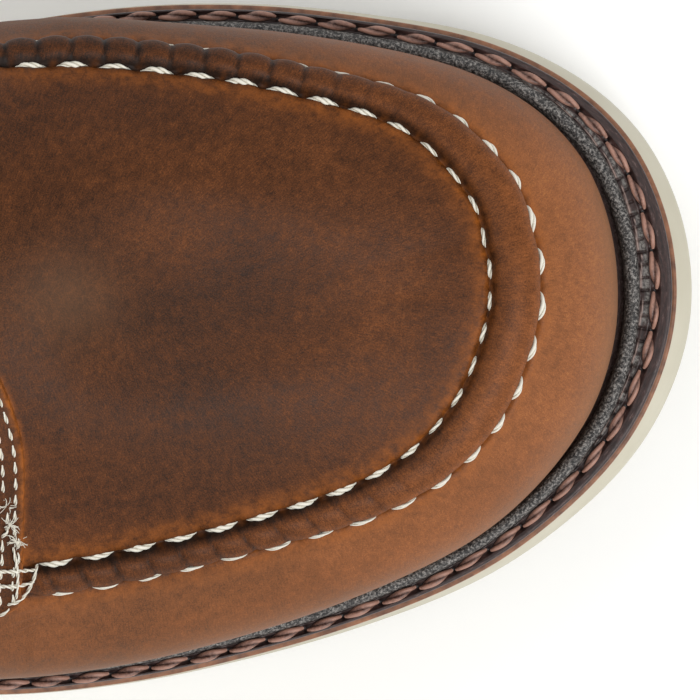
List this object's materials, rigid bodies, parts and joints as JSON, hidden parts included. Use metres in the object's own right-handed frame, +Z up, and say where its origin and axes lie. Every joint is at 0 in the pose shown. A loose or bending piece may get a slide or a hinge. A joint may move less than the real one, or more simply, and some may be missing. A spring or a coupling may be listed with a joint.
{
  "type": "wedge sole work boot",
  "caption": "Ankle-high lace-up leather work boot for the right foot, with a moccasin toe, storm welt and pale wedge sole.",
  "frame": {"origin": "centre of the bounding box on the floor plane, under the boot", "axes": "+X to the toe, +Y to the inner side of the foot, +Z up"},
  "size_m": [0.308, 0.1125, 0.1714],
  "materials": {
    "wedge_sole": "matte cream foam rubber",
    "midsole": "reddish brown midsole edge, lightly polished",
    "welt": "grainy blackened storm welt",
    "upper_leather": "oiled pull-up leather, semi-gloss, worn lighter along the seams",
    "insole": "smooth tan leather insole",
    "eyelets": "antiqued brass",
    "lace": "woven waxed cord",
    "thread": "thick waxed cream thread"
  },
  "bodies": {
    "root": {"outsole": "wedge_sole", "midsole": "midsole", "welt": "welt", "upper": "upper_leather", "insole": "insole", "tongue": "upper_leather", "eyelet_medial_1": "eyelets", "eyelet_medial_2": "eyelets", "eyelet_medial_3": "eyelets", "eyelet_medial_4": "eyelets", "eyelet_medial_5": "eyelets", "eyelet_medial_6": "eyelets", "eyelet_medial_7": "eyelets", "eyelet_lateral_1": "eyelets", "eyelet_lateral_2": "eyelets", "eyelet_lateral_3": "eyelets", "eyelet_lateral_4": "eyelets", "eyelet_lateral_5": "eyelets", "eyelet_lateral_6": "eyelets", "eyelet_lateral_7": "eyelets", "lace": "lace"}
  },
  "joints": []
}
